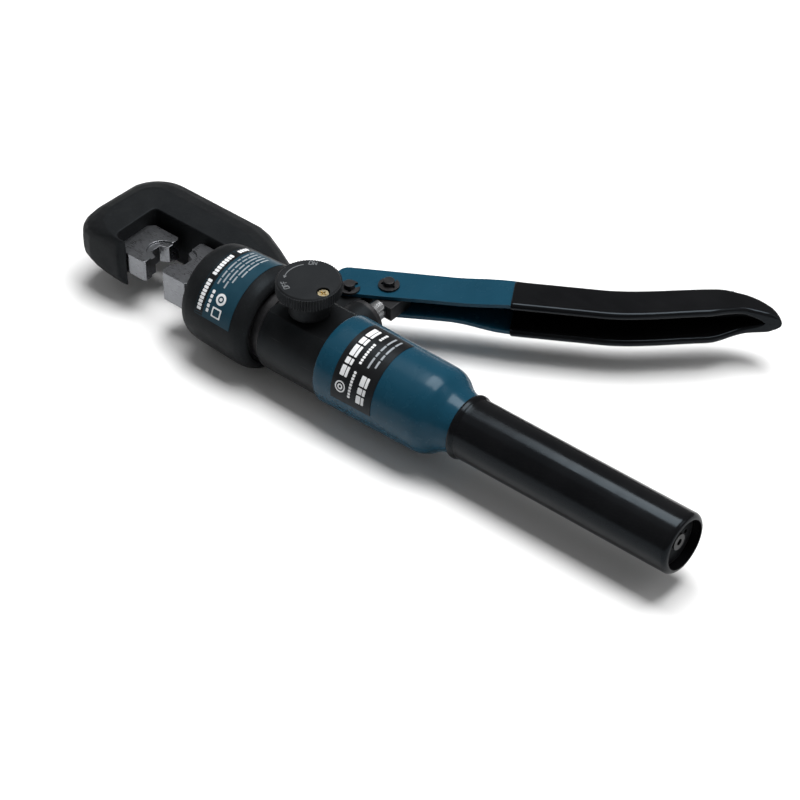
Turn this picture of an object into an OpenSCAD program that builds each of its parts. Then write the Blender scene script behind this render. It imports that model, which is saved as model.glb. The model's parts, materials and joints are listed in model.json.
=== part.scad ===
// Hand-pumped hydraulic crimping tool with a swivelling C-head.
// The parts are drawn about the tool axis (+X towards the main grip, +Z along
// the release knob, +Y towards the pump lever), with x = 0 at the knob.
// in_frame() then moves them to the middle of the tool's base.

/* [Overall] */
// Length from the nose of the head to the end of the main grip
overall_len = 320; // [317:1:324]
// Distance from the knob axis to the nose of the head
nose_reach = 126.5; // [126:0.5:127.5]

/* [Head] */
// Thickness of the C-head
head_thick = 24; // [23:0.5:25]
// Distance from the tool axis to the inside of the spine
throat_y = 14; // [13.6:0.2:14.6]
// Open gap between the two dies at rest, which the ram's stroke closes
die_gap = 11.5; // [9.5:0.5:11.5]
// Width of the fixed die
fixed_die_w = 22.4; // [21:0.2:22.6]
// Thickness of the fixed die
fixed_die_t = 10.4; // [9:0.2:12]
// Width of the moving die
moving_die_w = 25.6; // [24:0.2:25.8]
// Thickness of the moving die
moving_die_t = 15; // [13:0.2:15]
// Radius of the collar at its rear end
collar_r = 23.3; // [22.8:0.1:24]

/* [Pump] */
// Radius of the pump body
body_r = 18.8; // [18.4:0.1:19.2]
// Height of the milled flat under the knob
flat_z = 15.6; // [15:0.1:16.4]
// Radius of the ram
ram_r = 15; // [14.98:0.01:15.02]
// Radius of the pump plunger
plunger_r = 4.5; // [4.48:0.01:4.52]
// Radius of the painted rear housing
housing_r = 19.9; // [19.4:0.1:20.4]

/* [Main grip] */
// Outside radius of the grip sleeve
grip_r = 13.4; // [13.2:0.1:13.8]
// Where the grip sleeve starts
grip_start_x = 84.5; // [84:0.5:86]

/* [Release knob] */
// Radius of the knob
knob_r = 14; // [13:0.5:15]
// Height of the knob's top above the tool axis
knob_top_z = 32.7; // [32:0.1:34]
// Number of ribs around the knob's rim
knob_ribs = 72; // [48:4:90]

/* [Lever] */
// Angle between the lever and the tool axis at rest
lever_open = 31; // [29:0.5:33]
// Length from the pivot to the centre of the lever's rounded tip
lever_tip_u = 165; // [163:0.5:166]
// Radius of the lever's rounded tip
lever_tip_r = 19; // [18.6:0.1:19.4]
// Outside height of the channel at the pivot
channel_h = 11; // [10.6:0.1:12]
// Outside height of the channel inside the grip
channel_grip_h = 16; // [15:0.2:17]
// Thickness of the channel's sheet steel
sheet_t = 1.8; // [1.6:0.1:1.9]

/* [Hidden] */
$fn = 64;
running = 0.05;
grip_end_x = overall_len - nose_reach;

// Head
near_y = -14;
lip_x = -94.5;
floor_x = -102;
fixed_face_x = -85;
moving_face_x = fixed_face_x + die_gap;
fixed_die_d = fixed_face_x - floor_x;
moving_die_d = 16;
stud_r = 2.95;
stud_len = 8.6;
socket_r = 3.05;
socket_depth = 9.4;
ram_clear_x = -71.5;
collar_front_x = -57;
collar_rear_x = -18;
collar_front_r = collar_r - 0.8;
collar_taper_x = -47.5;
collar_wide_x = -25;

// Ram and cylinder
cyl_front_x = -51;
cyl_rear_x = -8;
cyl_r = 18.2;
ram_front_x = moving_face_x + moving_die_d;
ram_rear_x = -24;
bore_r = ram_r + running;
ram_hollow_r = 8;
ram_hollow_x = -44;
ring_x = -23;
cyl_seal_x = -47.5;
ram_wiper_x = -55.2;

// Pump body
body_front_x = -14;
body_rear_x = 18.2;
spigot_rear_x = 46;
spigot_r = 15.9;
housing_taper = 0.5;
housing_taper_x = 66;
pivot_x = -5.4;
pivot_y = 31.7;
plunger_x = 8.5;
pin2_u = 16.9;
pin2_a = 46;
pin2_x = pivot_x + pin2_u * cos(pin2_a);
pin2_y = pivot_y + pin2_u * sin(pin2_a);
pin_r = 2.5;
lug_half = 3.4;
gland_y = 24;
gland_r = 9;
plunger_bore_y = -8;

// Delivery and relief valves, drilled upwards from the underside of the pump
// body, and the suction valve, drilled forwards from its rear end
valve_bore_r = 3.5;
valve_top_z = -6;
channel_r = 1.3;
seat_hole_r = 1.4;
ball_r = 2.2;
ball_gap = 0.02;
plug_top_z = -13.2;
plug_base_z = -16.6;
delivery_at = [8.5, -6.5];
relief_at = [-3.4, 0];
valve_spots = [delivery_at, relief_at];
ball_drop = ball_gap + sqrt(ball_r * ball_r - seat_hole_r * seat_hole_r);
suction_y = -5;
suction_front_x = 24;
suction_seat_x = 32;
suction_ball_x = suction_seat_x - ball_drop;

// Lever outline, measured along (u) and across (n) the lever from its pivot
lever_front_u = -7;
steel_end_u = 162;
grip_start_u = 69.5;
coat = 1;
tip_n = 3.2;
tip_stretch = 1.1;
tip_round_u = 177;
tip_end_u = lever_tip_u + lever_tip_r - 0.4;

// Box of the whole tool and the shift that puts the origin under its middle
y_max = pivot_y + lever_tip_u * sin(lever_open) + tip_n * cos(lever_open)
    + lever_tip_r * norm([tip_stretch * sin(lever_open), cos(lever_open)]);
y_mid = (y_max - collar_r) / 2;
x_mid = (grip_end_x - nose_reach) / 2;

paint_black = [0.10, 0.10, 0.11];
vinyl_black = [0.05, 0.05, 0.06];
paint_blue = [0.13, 0.36, 0.46];
steel = [0.72, 0.73, 0.75];
dark_steel = [0.30, 0.30, 0.32];
brass = [0.80, 0.62, 0.28];
rubber = [0.12, 0.12, 0.12];

// ---------- shared shapes ----------

module in_frame() {
    translate([-x_mid, -y_mid, collar_r]) children();
}

// A profile of [radius, x] points turned about the tool axis
module turned(profile) {
    rotate([0, 90, 0]) rotate_extrude($fn = 96) polygon(profile);
}

module rod_x(r, x0, x1) {
    translate([x0, 0, 0]) rotate([0, 90, 0]) cylinder(r = r, h = x1 - x0);
}

module rod_y(r, y0, y1) {
    translate([0, y0, 0]) rotate([-90, 0, 0]) cylinder(r = r, h = y1 - y0);
}

module rod_z(r, z0, z1) {
    translate([0, 0, z0]) cylinder(r = r, h = z1 - z0);
}

module ring_of(r_in, r_out, x0, x1) {
    turned([[r_in, x0], [r_out, x0], [r_out, x1], [r_in, x1]]);
}

module slab(points, height) {
    linear_extrude(height, center = true) polygon(points);
}

function arc(cx, cy, r, a0, a1, steps) =
    [for (i = [0:steps]) let(a = a0 + (a1 - a0) * i / steps) [cx + r * cos(a), cy + r * sin(a)]];

// Smooth step from 0 at a to 1 at b
function ease(u, a, b) = let(t = max(0, min(1, (u - a) / (b - a)))) t * t * (3 - 2 * t);

// A coil spring along Z, swept as a closed tube
module coil(r, wire, length, turns, steps = 12, sides = 6) {
    n = turns * steps;
    points = [for (i = [0:n], j = [0:sides - 1])
        let(a = 360 * i / steps, b = 360 * j / sides, q = r + wire * cos(b))
        [q * cos(a), q * sin(a), wire + (length - 2 * wire) * i / n + wire * sin(b)]];
    walls = [for (i = [0:n - 1], j = [0:sides - 1], k = [0, 1])
        let(m = (j + 1) % sides, p = i * sides, s = p + sides)
        k == 0 ? [p + j, p + m, s + m] : [p + j, s + m, s + j]];
    start_cap = [for (j = [1:sides - 2]) [0, j + 1, j]];
    end_cap = [for (j = [1:sides - 2]) [n * sides, n * sides + j, n * sides + j + 1]];
    polyhedron(points, concat(walls, start_cap, end_cap));
}

// ---------- C-head ----------

// Outline of the head's flat top, and its outline at mid thickness
function flat_outline() = concat(
    [[-30, near_y + 1.4], [-95, near_y + 1.4], [-101, -12.2], [-107, -10.6], [-112, -7.6],
     [-115, -4], [-117, 2]],
    arc(-106.5, 17, 9.4, 165, 95, 8),
    [[-62, 26.4], [-54, 24.5], [-42, 20.5], [-30, 15], [-24, 10]]);

function mid_outline() = concat(
    [[-30, near_y], [-95, near_y], [11 - nose_reach, near_y], [5.7 - nose_reach, -12.4],
     [2.5 - nose_reach, -9.2], [0.5 - nose_reach, -5], [-nose_reach, 1]],
    arc(20.5 - nose_reach, 19.4, 20, 165, 95, 8),
    [[-62, 39.4], [-55.5, 37.8], [-45, 33], [-37.5, 29.2], [-24, 22.4]]);

// Height of each level of the rounded flank as a share of the half thickness,
// and how far the outline has grown there from the flat top to mid thickness
flank_levels = [[1, 0], [0.88, 0.42], [0.72, 0.75], [0.5, 0.95], [0.25, 1]];

function level_outline(grown) =
    [for (i = [0:len(flat_outline()) - 1]) flat_outline()[i] * (1 - grown) + mid_outline()[i] * grown];

function throat_outline() = concat(
    [[lip_x, -60], [lip_x, near_y + 2.2], [lip_x - 4.2, near_y + 2.5]],
    arc(floor_x + 3.4, near_y + 5.9, 3.4, 260, 180, 4),
    arc(floor_x + 2, throat_y - 2, 2, 180, 90, 4),
    [[-30, throat_y], [-30, -60]]);

module head_plate() {
    difference() {
        hull() {
            for (level = flank_levels) slab(level_outline(level[1]), head_thick * level[0]);
        }
        slab(throat_outline(), head_thick + 2);
        slab([[lip_x - 4, near_y - 1], [lip_x - 4, near_y + 0.6], [lip_x + 1, near_y + 2.6],
              [lip_x + 1, near_y - 1]], head_thick + 2);
    }
}

module head_collar() {
    turned([[0, collar_front_x], [16.2, collar_front_x], [18.2, collar_front_x + 0.8],
            [19.6, collar_front_x + 1.7], [20.5, collar_front_x + 2.5], [21.3, collar_front_x + 3.6],
            [22, collar_front_x + 5.6], [collar_front_r, collar_taper_x],
            [collar_r, collar_wide_x], [collar_r - 0.25, -22.5], [collar_r - 1.2, -20],
            [collar_r - 2.8, -18.4], [collar_r - 3.8, collar_rear_x],
            [0, collar_rear_x]]);
}

module head_frame() color(paint_black) in_frame() {
    difference() {
        union() {
            head_plate();
            head_collar();
        }
        rod_x(ram_r + 0.1, ram_clear_x, cyl_front_x + 1);
        rod_x(cyl_r + running, cyl_front_x - running, collar_rear_x + 1);
        ring_of(ram_r, ram_r + 1.9, ram_wiper_x, ram_wiper_x + 2);
        ring_of(cyl_r, cyl_r + 1.15, ring_x - 0.15, ring_x + 2.15);
        rod_x(socket_r, floor_x - socket_depth, floor_x + 1);
        ring_of(socket_r, socket_r + 0.8, floor_x - 5.2, floor_x - 3.6);
    }
}

// A die with its mating face at x = 0 and its stud pointing to -X
module die(width, thick, depth) {
    corner = 2.6;
    edge = 1;
    nest_half = 4.4;
    nest_floor = 2.3;
    nest_depth = 3.9;
    ring_r = 6.8;
    ring_depth = 1;
    difference() {
        slab([[0, edge - width / 2], [-edge, -width / 2], [corner - depth, -width / 2],
              [-depth, corner - width / 2], [-depth, width / 2 - corner],
              [corner - depth, width / 2], [-edge, width / 2], [0, width / 2 - edge],
              [0, nest_half], [-nest_depth, nest_floor], [-nest_depth, -nest_floor],
              [0, -nest_half]], thick);
        for (side = [-1, 1]) {
            translate([0, 0, side * thick / 2]) rod_z(ring_r, -ring_depth, ring_depth);
        }
    }
    difference() {
        rod_x(stud_r, -depth - stud_len, -depth);
        ring_of(stud_r - 0.5, stud_r + 1, -depth - 5.2, -depth - 3.6);
    }
}

module fixed_die() color(steel) in_frame() {
    translate([fixed_face_x, 0, 0]) die(fixed_die_w, fixed_die_t, fixed_die_d);
}

module moving_die() color(steel) in_frame() {
    translate([moving_face_x, 0, 0]) mirror([1, 0, 0]) die(moving_die_w, moving_die_t, moving_die_d);
}

// Split spring ring that grips a die's stud in its socket
module stud_clip(x) {
    difference() {
        ring_of(stud_r - 0.5, socket_r + 0.7, x, x + 1.4);
        translate([x + 0.7, 0, socket_r]) cube([3, 1.2, 4], center = true);
    }
}

module fixed_die_clip() color(dark_steel) in_frame() {
    stud_clip(floor_x - 5.1);
}

module moving_die_clip() color(dark_steel) in_frame() {
    stud_clip(ram_front_x + 3.7);
}

// Radius of the collar's outside at x, on its long taper
function collar_at(x) =
    collar_front_r + (collar_r - collar_front_r) * (x - collar_taper_x) / (collar_wide_x - collar_taper_x);

// Keeps the part of a turned sheet between two angles, measured from +Y towards +Z
module sector(r, a0, a1) {
    rotate([90, 0, 90]) linear_extrude(400, center = true)
        polygon(concat([[0, 0]], arc(0, 0, r, a0, a1, 8)));
}

module collar_label() color(paint_blue) in_frame() {
    x0 = -45.5;
    x1 = -25.5;
    sheet = 0.2;
    intersection() {
        turned([[collar_at(x0), x0], [collar_at(x0) + sheet, x0],
                [collar_at(x1) + sheet, x1], [collar_at(x1), x1]]);
        sector(80, 58, 166);
    }
}

module ram_wiper() color(rubber) in_frame() {
    ring_of(ram_r + 0.03, ram_r + 1.85, ram_wiper_x + 0.1, ram_wiper_x + 1.9);
}

// ---------- ram and cylinder ----------

module ram() color(steel) in_frame() {
    difference() {
        turned([[0, ram_front_x], [ram_r - 1, ram_front_x], [ram_r, ram_front_x + 1],
                [ram_r, -32], [12.8, -32], [12.8, -28], [ram_r, -28],
                [ram_r, ram_rear_x - 1], [ram_r - 1, ram_rear_x],
                [ram_hollow_r, ram_rear_x], [ram_hollow_r, ram_hollow_x], [0, ram_hollow_x]]);
        rod_x(socket_r, ram_front_x - 1, ram_front_x + socket_depth);
        ring_of(socket_r, socket_r + 0.8, ram_front_x + 3.6, ram_front_x + 5.2);
    }
}

module ram_seal() color(rubber) in_frame() {
    ring_of(12.8, ram_r + 0.02, -31.9, -28.1);
}

module ram_return_spring() color(dark_steel) in_frame() {
    translate([ram_hollow_x + 0.2, 0, 0]) rotate([0, 90, 0])
        coil(5.6, 0.9, cyl_rear_x - ram_hollow_x - 0.4, 9, 14, 6);
}

module ram_cylinder() color(dark_steel) in_frame() {
    difference() {
        turned([[bore_r, cyl_front_x], [cyl_r - 0.6, cyl_front_x], [cyl_r, cyl_front_x + 0.6],
                [cyl_r, -19], [16.8, -19], [16.8, body_front_x], [16, body_front_x],
                [16, cyl_rear_x], [13, cyl_rear_x], [13, -20], [bore_r, -20]]);
        ring_of(17.3, cyl_r + 1, ring_x, ring_x + 2);
        ring_of(16.7, cyl_r + 1, cyl_seal_x, cyl_seal_x + 1.6);
    }
}

module swivel_ring() color(steel) in_frame() {
    difference() {
        ring_of(17.3, cyl_r + 1.05, ring_x, ring_x + 2);
        translate([ring_x, 0, -cyl_r]) cube([10, 2, 6], center = true);
    }
}

module swivel_seal() color(rubber) in_frame() {
    ring_of(16.7, cyl_r + 0.02, cyl_seal_x + 0.1, cyl_seal_x + 1.5);
}

// ---------- pump body ----------

// Web that carries the lever's pivot pin, drawn in plan
function lug_outline() = concat(
    arc(pivot_x, pivot_y, 6.4, -45, 180, 14),
    [[-13.4, 20], [-13.4, 10], [0, 10], [-0.9, 23], [-0.9, 27]]);

module pump_body() color(paint_black) in_frame() {
    difference() {
        union() {
            intersection() {
                turned([[0, body_front_x], [body_r - 0.8, body_front_x],
                        [body_r, body_front_x + 0.8], [body_r, body_rear_x], [0, body_rear_x]]);
                translate([0, 0, flat_z - 50]) cube([200, 100, 100], center = true);
            }
            turned([[0, body_rear_x], [spigot_r, body_rear_x], [spigot_r, spigot_rear_x - 1],
                    [spigot_r - 1, spigot_rear_x], [0, spigot_rear_x]]);
            slab(lug_outline(), 2 * lug_half);
            translate([plunger_x, 0, 0]) rod_y(gland_r + 0.4, 6, gland_y);
        }
        // cylinder thread, pressure channel and release channel
        rod_x(16, body_front_x - 1, cyl_rear_x);
        rod_x(channel_r, cyl_rear_x - 1, 0.5);
        rod_z(seat_r, -0.5, seat_z + 0.5);
        // release spindle, its seal, bushing and ball seat
        rod_z(spindle_r + running, seat_z, flat_z + 1);
        rod_z(5.4, flat_z - 5.6, flat_z - 3.8);
        rod_z(6, flat_z - 4, flat_z + 1);
        // plunger bore, its seal and the gland's thread
        translate([plunger_x, 0, 0]) {
            rod_y(plunger_r + running, plunger_bore_y, gland_y + 1);
            rod_y(6.4, 12, 15.2);
            rod_y(7.4, 15, gland_y + 1);
        }
        // pivot pin
        translate([pivot_x, pivot_y, 0]) rod_z(pin_r + running, -10, 10);
        // delivery and relief valves with their seats
        for (at = valve_spots) translate([at[0], at[1], 0]) {
            rod_z(valve_bore_r, -body_r - 1, valve_top_z);
            rod_z(seat_hole_r, valve_top_z - 1, -0.5);
        }
        // from the delivery valve to the ram cylinder
        translate([0, delivery_at[1], -9.5]) rod_x(channel_r, cyl_rear_x - 1, delivery_at[0]);
        // from the relief valve and the release valve back to the reservoir
        translate([0, relief_at[1], -10.5]) rod_x(channel_r, relief_at[0], spigot_rear_x + 1);
        translate([0, 0, seat_z + 2.2]) rod_x(channel_r, 2, spigot_rear_x + 1);
        // from the reservoir to the plunger
        translate([0, suction_y, 0]) {
            rod_x(valve_bore_r, suction_front_x, spigot_rear_x + 1);
            rod_x(channel_r, plunger_x, suction_front_x + 1);
        }
    }
}

module valve_plugs() color(dark_steel) in_frame() {
    for (at = valve_spots) translate([at[0], at[1], 0]) difference() {
        rod_z(valve_bore_r, plug_base_z, plug_top_z);
        translate([0, 0, plug_base_z - 1]) cylinder(r = 2, h = 3, $fn = 6);
    }
}

// Drilled seat the suction ball closes against
module suction_seat() color(dark_steel) in_frame() translate([0, suction_y, 0]) difference() {
    rod_x(valve_bore_r, suction_seat_x, suction_seat_x + 6);
    rod_x(seat_hole_r, suction_seat_x - 1, suction_seat_x + 3);
    translate([suction_seat_x + 2, 0, 0]) rotate([0, 90, 0]) cylinder(r = 2, h = 5, $fn = 6);
}

module valve_ball(at) {
    translate([at[0], at[1], valve_top_z - ball_drop]) sphere(r = ball_r);
}

module delivery_ball() color(steel) in_frame() valve_ball(delivery_at);

module relief_ball() color(steel) in_frame() valve_ball(relief_at);

module suction_ball() color(steel) in_frame() {
    translate([suction_ball_x, suction_y, 0]) sphere(r = ball_r);
}

module valve_spring(length) {
    coil(1.7, 0.3, length, 4);
}

module valve_spring_at(at) {
    spring_top = valve_top_z - ball_drop - ball_r - ball_gap;
    translate([at[0], at[1], plug_top_z]) valve_spring(spring_top - plug_top_z);
}

module delivery_spring() color(steel) in_frame() valve_spring_at(delivery_at);

module relief_spring() color(steel) in_frame() valve_spring_at(relief_at);

module suction_spring() color(steel) in_frame() {
    translate([suction_front_x, suction_y, 0]) rotate([0, 90, 0])
        valve_spring(suction_ball_x - ball_r - ball_gap - suction_front_x);
}

module rear_housing() color(paint_blue) in_frame() {
    turned([[spigot_r, body_rear_x], [housing_r - 0.9, body_rear_x],
            [housing_r - 0.25, body_rear_x + 0.3], [housing_r, body_rear_x + 1],
            [housing_r - housing_taper, housing_taper_x], [housing_r - 0.8, 69.5], [housing_r - 1.7, 72.6],
            [housing_r - 3.4, 75.3], [14.7, 77.6], [13.6, 80], [13.2, 82.5], [12.9, 83.5], [12.9, 87],
            [12, 87], [12, 71], [13.4, 69.6], [13.4, spigot_rear_x], [spigot_r, spigot_rear_x]]);
}

// Radius of the housing's outside at x, on its long taper
function housing_at(x) =
    housing_r - housing_taper * (x - body_rear_x - 1) / (housing_taper_x - body_rear_x - 1);

module housing_label() color(vinyl_black) in_frame() {
    x0 = 28.5;
    x1 = 49.5;
    sheet = 0.2;
    intersection() {
        turned([[housing_at(x0), x0], [housing_at(x0) + sheet, x0],
                [housing_at(x1) + sheet, x1], [housing_at(x1), x1]]);
        sector(80, 64, 184);
    }
}

// ---------- reservoir and main grip ----------

module bladder_fitting() color(steel) in_frame() {
    turned([[3, spigot_rear_x + 2.4], [13.4, spigot_rear_x + 2.4], [13.4, 55], [9, 55], [9, 58],
            [8.4, 60], [9.2, 62], [8.4, 64], [9.2, 66], [8.4, 68], [3, 68]]);
}

module intake_screen() color(brass) in_frame() {
    rod_x(13.4, spigot_rear_x, spigot_rear_x + 0.8);
    ring_of(11, 13.4, spigot_rear_x + 0.8, spigot_rear_x + 2.4);
}

module reservoir_tube() color(dark_steel) in_frame() {
    ring_of(10.7, 12, 71, grip_end_x - 4.5);
}

module oil_bladder() color(rubber) in_frame() {
    turned([[9.3, 59], [10.5, 59], [10.5, 164], [9.6, 168], [7, 171], [0, 172],
            [0, 170.8], [6.2, 170], [8.6, 167.4], [9.3, 163.4]]);
}

module end_plug() color(vinyl_black) in_frame() {
    difference() {
        rod_x(10.7, grip_end_x - 10.5, grip_end_x - 4.5);
        rod_x(2, grip_end_x - 12, grip_end_x);
        for (side = [-1, 1]) {
            translate([grip_end_x - 5.5, side * 6.6, 0]) rod_x(1, 0, 2);
        }
    }
}

module fill_screw() color(steel) in_frame() {
    difference() {
        union() {
            rod_x(2, grip_end_x - 10.5, grip_end_x - 4.5);
            rod_x(3.6, grip_end_x - 4.5, grip_end_x - 2.7);
        }
        translate([grip_end_x - 3.6, 0, 0]) rotate([0, 90, 0]) cylinder(r = 1.6, h = 2, $fn = 6);
    }
}

module grip_sleeve() color(vinyl_black) in_frame() {
    end_r = 2.4;
    turned(concat(
        [[12.9, grip_start_x], [grip_r + 0.4, grip_start_x], [grip_r + 0.9, grip_start_x + 0.6],
         [grip_r + 0.9, grip_start_x + 2], [grip_r + 0.5, grip_start_x + 3.4],
         [grip_r, grip_start_x + 4.6]],
        arc(grip_r - end_r, grip_end_x - end_r, end_r, 0, 90, 6),
        [[11.2, grip_end_x], [11.2, grip_end_x - 4.5], [12, grip_end_x - 4.5],
         [12, 87], [12.9, 87]]));
}

// ---------- plunger ----------

module on_plunger_axis() {
    translate([plunger_x, 0, 0]) children();
}

module gland_nut() color(dark_steel) in_frame() on_plunger_axis() {
    difference() {
        union() {
            rod_y(gland_r, gland_y, gland_y + 2.4);
            rod_y(7.4, 15.2, gland_y);
        }
        rod_y(plunger_r + running, 14, gland_y + 4);
        rod_y(5.8, 21.4, 23.4);
        for (side = [-1, 1]) {
            translate([0, gland_y + 1.6, side * 7]) rod_y(0.9, 0, 2);
        }
    }
}

// A seal ring about the plunger's axis
module plunger_ring(r_out, y0, y1) {
    difference() {
        rod_y(r_out, y0, y1);
        rod_y(plunger_r + 0.03, y0 - 1, y1 + 1);
    }
}

module plunger_seal() color(rubber) in_frame() on_plunger_axis() {
    plunger_ring(6.4, 12.1, 15.1);
}

module plunger_wiper() color(rubber) in_frame() on_plunger_axis() {
    plunger_ring(5.8, 21.5, 23.3);
}

spigot_y = pin2_y - 9.4;

module plunger_rod() color(steel) in_frame() on_plunger_axis() {
    rod_y(plunger_r, 2, spigot_y);
    rod_y(2.2, spigot_y, spigot_y + 3.6);
}

module plunger_head() color(dark_steel) in_frame() {
    slot_reach = 2.6;
    slot_r = pin_r + 0.55;
    corner = 2.5;
    half_w = 6.8;
    top_y = pin2_y + 5.4;
    left_x = plunger_x - half_w;
    right_x = plunger_x + half_w;
    difference() {
        slab(concat(
            [[left_x, spigot_y], [right_x, spigot_y]],
            arc(right_x - corner, top_y - corner, corner, 0, 90, 4),
            arc(left_x + corner, top_y - corner, corner, 90, 180, 4)), 2 * lug_half);
        on_plunger_axis() rod_y(2.2, spigot_y - 1, spigot_y + 3.6);
        for (side = [-1, 1]) {
            translate([plunger_x + side * slot_reach, pin2_y, 0]) rod_z(slot_r, -10, 10);
        }
        translate([plunger_x, pin2_y, 0]) cube([2 * slot_reach, 2 * slot_r, 20], center = true);
    }
}

// ---------- release valve ----------

rim_h = 6.4;
rim_z = knob_top_z - rim_h;
spindle_r = 4;
seat_r = 1.2;
seat_z = 7.4;
release_ball_r = 2;
release_ball_z = seat_z + ball_gap + sqrt(release_ball_r * release_ball_r - seat_r * seat_r);
spindle_top_z = knob_top_z - 2.6;
hub_r = 8.8;
bushing_r = 7;
screw_x = knob_r - 4.1;
screw_y = -2.2;
screw_head_r = 2.35;
screw_recess_r = 2.9;
screw_seat_z = knob_top_z - 2.8;
screw_top_z = knob_top_z - 0.8;
bushing_top_z = flat_z + 5;

module spindle_bushing() color(dark_steel) in_frame() difference() {
    union() {
        rod_z(6, flat_z - 3.8, flat_z);
        rod_z(bushing_r, flat_z, bushing_top_z);
    }
    rod_z(spindle_r + running, flat_z - 5, bushing_top_z + 1);
}

module spindle_seal() color(rubber) in_frame() difference() {
    rod_z(5.4, flat_z - 5.5, flat_z - 3.9);
    rod_z(spindle_r + 0.03, flat_z - 7, flat_z);
}

module release_ball() color(steel) in_frame() {
    translate([0, 0, release_ball_z]) sphere(r = release_ball_r);
}

module release_spindle() color(steel) in_frame() {
    rod_z(spindle_r, release_ball_z + release_ball_r + ball_gap, spindle_top_z);
}

// Points of a ribbed rim
function ribbed(r, depth, ribs) =
    [for (i = [0:2 * ribs - 1]) let(a = 180 * i / ribs, q = r - depth * (i % 2)) [q * cos(a), q * sin(a)]];

rim_r = knob_r - 0.55;
rim_edge = 0.6;

module release_knob() color(vinyl_black) in_frame() difference() {
    union() {
        rotate_extrude($fn = 96) polygon([[0, rim_z], [rim_r - rim_edge, rim_z],
            [rim_r, rim_z + rim_edge], [rim_r, knob_top_z - rim_edge],
            [rim_r - rim_edge, knob_top_z], [0, knob_top_z]]);
        translate([0, 0, rim_z + rim_edge]) linear_extrude(rim_h - 2 * rim_edge)
            polygon(ribbed(knob_r, 0.45, knob_ribs));
        rod_z(hub_r, flat_z + 1, rim_z);
    }
    rod_z(bushing_r + 0.5, flat_z, bushing_top_z + 1);
    rod_z(spindle_r, flat_z, spindle_top_z);
    translate([screw_x, screw_y, 0]) {
        rod_z(screw_recess_r, screw_seat_z, knob_top_z + 1);
        rod_z(1.5, rim_z + 1, knob_top_z);
    }
}

module knob_screw() color(brass) in_frame() translate([screw_x, screw_y, 0]) {
    difference() {
        union() {
            rod_z(1.5, rim_z + 1, screw_seat_z);
            rod_z(screw_head_r, screw_seat_z, screw_top_z);
        }
        for (turn = [0, 90]) {
            translate([0, 0, screw_top_z]) rotate([0, 0, turn]) cube([3.2, 0.8, 2], center = true);
        }
    }
}

// ---------- lever ----------

module on_lever() {
    translate([pivot_x, pivot_y, 0]) rotate([0, 0, lever_open]) children();
}

// Outer and inner edges of the steel channel in plan, and its half height
function far_n(u) = 14.5 - 1.9 * ease(u, 48, 76) + 9.2 * ease(u, 106, 168);
function near_n(u) = -3 + 0.6 * ease(u, 10, 40) - 1.2 * ease(u, 44, 64)
    + 10.2 * ease(u, 108, 170) + 4.8 * ease(u, 152, 170);
function half_h(u) = channel_h / 2 + (channel_grip_h - channel_h) / 2 * ease(u, 44, 70)
    - 2.2 * ease(u, 154, 172) - 2.6 * ease(u, 166, 186);
// Rounds the grip's end off in side view
function tip_share(u) = let(t = max(0, (u - tip_round_u) / (tip_end_u - tip_round_u))) sqrt(1 - t * t);

function stations(u0, u1, steps) = [for (i = [0:steps]) u0 + (u1 - u0) * i / steps];
function reversed(list) = [for (i = [len(list) - 1:-1:0]) list[i]];

// A side view given as [u, half height] points, pushed right across the lever
module side_view(tops) {
    outline = concat(tops, [for (p = reversed(tops)) [p[0], -p[1]]]);
    translate([0, 60, 0]) rotate([90, 0, 0]) linear_extrude(120) polygon(outline);
}

module channel_solid() {
    corner = 5;
    us = stations(0, steel_end_u, 40);
    plan = concat(
        [[lever_front_u + 1.5, near_n(0)], [lever_front_u, near_n(0) + 1.5]],
        arc(lever_front_u + corner, far_n(0) - corner, corner, 180, 90, 6),
        [for (u = us) [u, far_n(u)]],
        [for (u = reversed(us)) [u, near_n(u)]]);
    intersection() {
        slab(plan, 40);
        side_view([for (u = stations(lever_front_u - 1, steel_end_u + 1, 36)) [u, half_h(u)]]);
    }
}

// The open inside of the channel, drawn back from its walls by margin
module channel_hollow(margin, end_u) {
    wall = sheet_t + margin;
    us = stations(lever_front_u - 2, end_u, 44);
    plan = concat([for (u = us) [u, far_n(u) - wall]], [[end_u, -20], [lever_front_u - 2, -20]]);
    intersection() {
        slab(plan, 40);
        side_view([for (u = stations(lever_front_u - 3, end_u + 1, 36)) [u, half_h(u) - wall]]);
    }
}

module channel_steel() {
    difference() {
        channel_solid();
        channel_hollow(0, steel_end_u + 1);
        rod_z(pin_r, -10, 10);
        rotate([0, 0, pin2_a - lever_open]) translate([pin2_u, 0, 0]) rod_z(pin_r, -10, 10);
    }
}

module lever_channel() color(paint_blue) in_frame() on_lever() channel_steel();

module lever_grip() color(vinyl_black) in_frame() on_lever() {
    us = stations(grip_start_u, lever_tip_u - 1, 24);
    near_us = stations(grip_start_u, lever_tip_u + lever_tip_r - 3.4, 28);
    side_us = concat(stations(grip_start_u - 1, tip_round_u, 30),
                     stations(tip_round_u + 1, tip_end_u - 0.2, 10));
    plan = concat(
        [for (u = us) [u, min(far_n(u) + coat, tip_n + lever_tip_r)]],
        [for (a = stations(90, 31, 14)) [lever_tip_u + tip_stretch * lever_tip_r * cos(a),
                                         tip_n + lever_tip_r * sin(a)]],
        [[tip_end_u - 0.3, tip_n + 8.8], [tip_end_u - 1, tip_n + 7.8]],
        [for (u = reversed(near_us)) [u, near_n(u) - coat]]);
    difference() {
        intersection() {
            slab(plan, 40);
            side_view([for (u = side_us) [u, (half_h(u) + coat) * tip_share(u)]]);
        }
        channel_hollow(0.8, steel_end_u + 9);
        channel_steel();
    }
}

// The lever's pins stand out of the channel and carry a clip groove at each end
clip_z = channel_h / 2 + 0.1;
clip_t = 1;

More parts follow.
